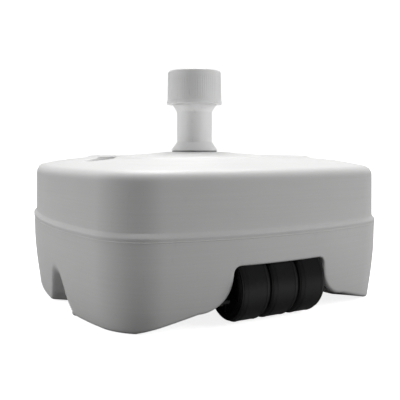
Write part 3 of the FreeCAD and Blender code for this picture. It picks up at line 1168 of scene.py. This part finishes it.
@dataclass
class Neck:
    """Pole socket with its flared collar and threaded head, and the nut that clamps the pole."""

    turn_steps: int = 128
    ribs: int = 72
    rib_depth: float = 0.5
    collar_height: float = 12.5
    neck_radius: float = 28.6
    socket_radius: float = 26.0
    head_radius: float = 35.6
    tube_radius: float = 30.0
    cone_radius: float = 34.6
    head_bore: float = 31.4
    throat_radius: float = 28.8
    core_radius: float = 0.6
    nut_clearance: float = 1.0
    nut_lip: float = 8.0
    lobes: int = 6
    lobe_height: float = 8.5
    lock_bore: float = 30.2
    lock_steps: int = 144

    def _tube(self, finishes: Finishes) -> None:
        """Builds the pole socket.

        Args:
            finishes: the materials.
        """
        box = NodeBox("pole_tube")
        gasket = NodeBox("tube_gasket")
        nut = NodeBox("clamp_nut")
        washer = NodeBox("tube_washer")
        tube = self.tube_radius
        core, bore = self.core_radius, self.socket_radius
        collar_foot = gasket.high.z
        seat = nut.low.z
        collar = box.high.x
        foot_top = collar_foot + self.collar_height
        corners = [(core, box.low.z, 0), (tube, box.low.z, 2.0), (tube, washer.high.z + 20, 0),
                   (tube, collar_foot, 0), (collar - 0.6, collar_foot, 0), (collar, collar_foot + 0.5, 0.5),
                   (collar, collar_foot + 1.6, 0.6), (self.neck_radius + 0.9, foot_top, 1.0),
                   (self.neck_radius, foot_top + 1.6, 0.8), (self.neck_radius, seat - 12, 1.0),
                   (self.cone_radius, seat - 2, 0.8), (self.head_radius, seat + 1.5, 0.8),
                   (self.head_radius, box.high.z - 2, 0.6), (self.head_radius - 1.4, box.high.z, 0.8),
                   (self.head_bore, box.high.z, 0.6), (self.throat_radius, nut.low.z + 5, 0.6),
                   (bore, nut.low.z + 4, 0.4), (bore, box.low.z + 4, 1.0), (core, box.low.z + 4, 0)]
        profile = divided(rounded_line(corners), 9)
        bm = turned([*profile, profile[0]], self.turn_steps)
        finished(bm, "pole_socket", finishes.of(Slot.NECK), Body.BASE, ["pole_tube"], 28)

    def _nut(self, finishes: Finishes) -> None:
        """Builds the ribbed hand nut.

        Args:
            finishes: the materials.
        """
        box = NodeBox("clamp_nut")
        ring = NodeBox("slip_ring")
        outer = box.high.x
        low, high = box.low.z, box.high.z
        bore = self.head_radius + self.nut_clearance
        mouth = -ring.low.x - self.nut_lip
        corners = [(bore, low, 0), (outer - 0.9, low, 0.0), (outer, low + 0.9, 0.7), (outer, low + 4.8, 0.9),
                   (outer - 0.9, low + 6.2, 0.9), (outer - 1.9, high - 2.6, 2.0),
                   (outer - 5.0, high - 0.2, 1.6), (mouth + 3.2, high, 1.2), (mouth, high - 3, 1.0),
                   (mouth, ring.high.z, 0.5), (bore, ring.high.z, 1.0), (bore, low, 0)]
        profile = divided(rounded_line(corners, 6), 2.4)
        bm = turned(profile, self.ribs * 6)
        for vert in bm.verts:
            radius = vert.co.xy.length
            if radius < outer - 3.2:
                continue
            angle = math.atan2(vert.co.y, vert.co.x)
            ends = smooth_step(low + 6.4, low + 8.6, vert.co.z) * smooth_step(high - 9, high - 14, vert.co.z)
            groove = (0.5 - 0.5 * math.cos(self.ribs * angle)) ** 2
            vert.co.xy *= 1 - self.rib_depth * ends * groove / radius
        bmesh.ops.recalc_face_normals(bm, faces=bm.faces)
        finished(bm, "hand_nut", finishes.of(Slot.NUT), Body.HAND_NUT, ["clamp_nut"], 40)

    def _lock_nut(self, finishes: Finishes) -> None:
        """Builds the lobed nut that holds the socket from below.

        Args:
            finishes: the materials.
        """
        box = NodeBox("tube_nut")
        bm = bmesh.new()
        bmesh.ops.create_circle(bm, cap_ends=False, radius=1, segments=self.lock_steps)
        bm.verts.ensure_lookup_table()
        loop = open_loop(bm.verts[0])
        spokes = []
        for vert in loop:
            angle = math.atan2(vert.co.y, vert.co.x)
            spokes.append((vert.co.xy.normalized(), 0.5 + 0.5 * math.cos(self.lobes * angle)))
        rim = box.high.x
        waist = rim - self.lobe_height
        bore = self.lock_bore
        levels = rounded_line([(bore, box.low.z, 0), (rim, box.low.z, 1.6), (rim, box.high.z, 1.6),
                               (bore, box.high.z, 0)], 4)
        rings = []
        for point in [*levels, levels[0]]:
            share = (point.x - bore) / (rim - bore)
            reaches = [point.x + (mix(waist, rim, lobe ** 1.5) - rim) * share for _, lobe in spokes]
            rings.append([Vector((*(spoke * reach), point.z)) for (spoke, _), reach in zip(spokes, reaches)])
        for vert, place in zip(loop, rings[0]):
            vert.co = place
        for places in rings[1:]:
            loop = grown_loop(bm, loop, places)
        bmesh.ops.remove_doubles(bm, verts=bm.verts, dist=0.01)
        bmesh.ops.recalc_face_normals(bm, faces=bm.faces)
        finished(bm, "socket_lock_nut", finishes.of(Slot.UNDER), Body.BASE, ["tube_nut"], 40)

    def build(self, finishes: Finishes) -> None:
        """Builds and dresses the neck.

        Args:
            finishes: the materials.
        """
        self._tube(finishes)
        self._nut(finishes)
        self._lock_nut(finishes)
        finishes.dress_node("tube_gasket", finishes.of(Slot.SEAL))
        finishes.dress_node("tube_washer", finishes.of(Slot.STEEL))
        finishes.dress_node("collet", finishes.of(Slot.NYLON))
        finishes.dress_node("slip_ring", finishes.of(Slot.NYLON))


# --- filler cap ---------------------------------------------------------------


@dataclass
class FillerCap:
    """Screw cap with a knurled skirt and a grip bar."""

    knurls: int = 36
    knurl_depth: float = 0.5
    bar_half_length: float = 17.0
    bar_half_width: float = 2.4

    def build(self, finishes: Finishes) -> None:
        """Builds and dresses the cap.

        Args:
            finishes: the materials.
        """
        box = NodeBox("filler_cap")
        seal = NodeBox("cap_seal")
        outer = box.size.x / 2
        top = seal.high.z + 3
        skirt = seal.size.x / 2 + 0.4
        corners = [(0.4, seal.high.z, 0), (skirt, seal.high.z, 0.5), (skirt, box.low.z, 0.3),
                   (outer, box.low.z, 0.6), (outer, top, 1.8), (outer - 4, top, 0.8),
                   (outer - 5, top - 0.8, 0.8), (0.4, top - 0.8, 0)]
        profile = divided(rounded_line(corners), 1.6)
        dome = turned([*profile, profile[0]], self.knurls * 6)
        for vert in dome.verts:
            radius = vert.co.xy.length
            if radius < outer - 0.8:
                continue
            angle = math.atan2(vert.co.y, vert.co.x)
            ends = (smooth_step(box.low.z + 0.5, box.low.z + 1.5, vert.co.z)
                    * smooth_step(top - 1.5, top - 3, vert.co.z))
            vert.co.xy *= 1 - self.knurl_depth * ends * (0.5 - 0.5 * math.cos(self.knurls * angle)) / radius
        bar = bevelled_box(Vector((-self.bar_half_length, -self.bar_half_width, top - 2)),
                           Vector((self.bar_half_length, self.bar_half_width, box.high.z)), 1.2, 4)
        bm = merged([dome, bar])
        bmesh.ops.translate(bm, vec=(box.middle.x, box.middle.y, 0), verts=bm.verts)
        finished(bm, "filler_screw_cap", finishes.of(Slot.CAP), Body.CAP, ["filler_cap"])
        finishes.dress_node("cap_seal", finishes.of(Slot.SEAL))


# --- roller -------------------------------------------------------------------


@dataclass
class Roller:
    """Three hollow drum wheels on a steel axle, held by two brackets screwed up into the tank."""

    turn_steps: int = 144
    shoulder: float = 7.5
    shoulder_drop: float = 1.7
    edge_rounding: float = 2.6
    hub_radius: float = 13.0
    dish_radius: float = 35.0
    dish_depth: float = 4.0
    bore: float = 5.15
    spokes: int = 6
    rib_half: float = 1.5
    rib_drop: float = 2.0

    def _wheel(self, node: str, body: Body, finishes: Finishes) -> None:
        """Builds one wheel.

        Args:
            node: the CAD node that it stands for.
            body: the body that it moves with.
            finishes: the materials.
        """
        box = NodeBox(node)
        half = box.size.x / 2
        rim = box.size.z / 2
        edge = rim - self.shoulder_drop
        outer_half = [(rim, 0, 0), (rim - 0.05, half - self.shoulder, 0.6), (edge, half - 2.2, 1.5),
                      (edge - 2.6, half, self.edge_rounding), (self.dish_radius + 1.6, half, 0.8),
                      (self.dish_radius, half - self.dish_depth, 1.2),
                      (self.hub_radius + 1, half - self.dish_depth, 1.2), (self.hub_radius, half, 0.6),
                      (self.bore + 0.7, half, 0.0), (self.bore, half - 0.7, 0.0), (self.bore, 0, 0)]
        line = divided(rounded_line(outer_half, 4), 4)
        mirrored = [Vector((point.x, 0, -point.z)) for point in reversed(line)]
        bm = turned([*line, *mirrored[1:]], self.turn_steps)
        dish_floor = half - self.dish_depth
        parts = [bm]
        for index in range(self.spokes):
            for side in (-1, 1):
                low = Vector((self.hub_radius - 1, -self.rib_half, side * dish_floor - 1))
                high = Vector((self.dish_radius + 1, self.rib_half, side * dish_floor + 1))
                if side > 0:
                    high.z += self.dish_depth - self.rib_drop
                else:
                    low.z -= self.dish_depth - self.rib_drop
                rib = bevelled_box(low, high, 0.6, 2)
                turn = Matrix.Rotation(FULL_TURN * index / self.spokes, 4, "Z")
                bmesh.ops.transform(rib, matrix=turn, verts=rib.verts)
                parts.append(rib)
        bm = merged(parts)
        place = Matrix.Translation(box.middle) @ Matrix.Rotation(math.pi / 2, 4, "Y")
        bmesh.ops.transform(bm, matrix=place, verts=bm.verts)
        name = node.replace("wheel", "drum_wheel")
        finished(bm, name, finishes.of(Slot.WHEEL), body, [node], 28)

    def build(self, finishes: Finishes) -> None:
        """Builds and dresses the roller.

        Args:
            finishes: the materials.
        """
        for node, body in (("wheel_left", Body.LEFT_WHEEL), ("wheel_middle", Body.MIDDLE_WHEEL),
                           ("wheel_right", Body.RIGHT_WHEEL)):
            self._wheel(node, body, finishes)
        finishes.dress_node("axle", finishes.of(Slot.STEEL))
        finishes.dress_node("wheel_washers", finishes.of(Slot.NYLON))
        finishes.dress_node("bracket_screws", finishes.screw_steel)
        finishes.dress_node("axle_bracket_left", finishes.of(Slot.BRACKET))
        finishes.dress_node("axle_bracket_right", finishes.of(Slot.BRACKET))


# --- studio -------------------------------------------------------------------


@dataclass
class Studio:
    """Pale floor, soft lights, bright surroundings and the camera."""

    floor_half: float = 6.0
    floor_bounce: float = 0.18
    floor_mirrored: float = 0.45
    floor_glow: float = 0.85
    camera_turn: float = 27.88
    camera_distance: float = 0.9486
    camera_height: float = 0.2282
    aim_down: float = 5.26
    aim_right: float = 0.548
    lens: float = 51.76

    def _floor(self) -> None:
        """Lays the floor, which is seen bright but throws only part of its light back on the base."""
        bm = bmesh.new()
        bmesh.ops.create_grid(bm, x_segments=1, y_segments=1, size=self.floor_half)
        mesh = bpy.data.meshes.new("floor")
        bm.to_mesh(mesh)
        bm.free()
        floor = bpy.data.objects.new("floor", mesh)
        bpy.context.scene.collection.objects.link(floor)
        made = bpy.data.materials.new("floor_pale")
        made.use_nodes = True
        sheet = NodeSheet(made.node_tree)
        shader = made.node_tree.nodes["Principled BSDF"]
        rays = sheet.node("ShaderNodeLightPath")
        seen = rays.outputs["Is Camera Ray"]
        bounce = sheet.tint(rays.outputs["Is Glossy Ray"], (*(self.floor_bounce,) * 3, 1),
                            (*(self.floor_mirrored,) * 3, 1))
        shade = sheet.tint(seen, bounce, (0.9, 0.9, 0.9, 1))
        sheet.join(shade, shader.inputs["Base Color"])
        shader.inputs["Emission Color"].default_value = (1, 1, 1, 1)
        sheet.join(sheet.maths("MULTIPLY", seen, self.floor_glow), shader.inputs["Emission Strength"])
        shader.inputs["Roughness"].default_value = 0.9
        shader.inputs["Specular IOR Level"].default_value = 0.0
        mesh.materials.append(made)

    def _surroundings(self, seen: float, lighting: float) -> None:
        """Sets the bright background and the dim light that it gives.

        Args:
            seen: brightness that the camera sees.
            lighting: brightness that lights the base.
        """
        world = bpy.data.worlds.new("studio")
        world.use_nodes = True
        bpy.context.scene.world = world
        sheet = NodeSheet(world.node_tree)
        back = world.node_tree.nodes["Background"]
        rays = sheet.node("ShaderNodeLightPath")
        strength = sheet.remap(rays.outputs["Is Camera Ray"], 0, 1, lighting, seen)
        sheet.join(strength, back.inputs["Strength"])
        back.inputs["Color"].default_value = (1, 1, 1, 1)

    def _lamp(self, name: str, turn: float, height: float, strength: float,
              softness: float) -> bpy.types.Object:
        """Adds a distant soft light.

        Args:
            name: its name.
            turn: degrees round from +X.
            height: degrees above the floor.
            strength: light on a surface that faces it, in watts per square metre.
            softness: degrees that it spans.

        Returns:
            The light.
        """
        light = bpy.data.lights.new(name, "SUN")
        light.energy = strength
        light.angle = math.radians(softness)
        lamp = bpy.data.objects.new(name, light)
        flat = math.cos(math.radians(height))
        towards = Vector((flat * math.cos(math.radians(turn)), flat * math.sin(math.radians(turn)),
                          math.sin(math.radians(height))))
        lamp.rotation_euler = towards.to_track_quat("Z", "Y").to_euler()
        bpy.context.scene.collection.objects.link(lamp)
        return lamp

    def _camera(self) -> None:
        """Places the camera."""
        data = bpy.data.cameras.new("camera")
        data.sensor_width = 36
        data.lens = self.lens
        camera = bpy.data.objects.new("camera", data)
        turn = math.radians(self.camera_turn)
        place = Vector((-math.sin(turn) * self.camera_distance, -math.cos(turn) * self.camera_distance,
                        self.camera_height))
        facing = (Matrix.Rotation(-turn - math.radians(self.aim_right), 4, "Z")
                  @ Matrix.Rotation(math.pi / 2 - math.radians(self.aim_down), 4, "X"))
        camera.matrix_world = Matrix.Translation(place) @ facing
        bpy.context.scene.collection.objects.link(camera)
        bpy.context.scene.camera = camera

    def build(self) -> None:
        """Sets up the studio."""
        bpy.context.scene.view_settings.view_transform = "Standard"
        self._floor()
        self._surroundings(seen=1.1, lighting=0.17)
        self._lamp("top_light", turn=62, height=68, strength=2.65, softness=36)
        for lamp in (self._lamp("left_light", turn=150, height=22, strength=1.2, softness=25),
                     self._lamp("right_light", turn=-38, height=22, strength=1.3, softness=25)):
            lamp.visible_glossy = False
        self._camera()


def main() -> None:
    """Builds the whole model, one sub-assembly after another."""
    logging.basicConfig(level=logging.INFO, format="%(name)s %(message)s")
    Studio().build()
    finishes = Finishes()
    Tank().build(finishes)
    Neck().build(finishes)
    FillerCap().build(finishes)
    Roller().build(finishes)


if __name__ == "__main__":
    main()
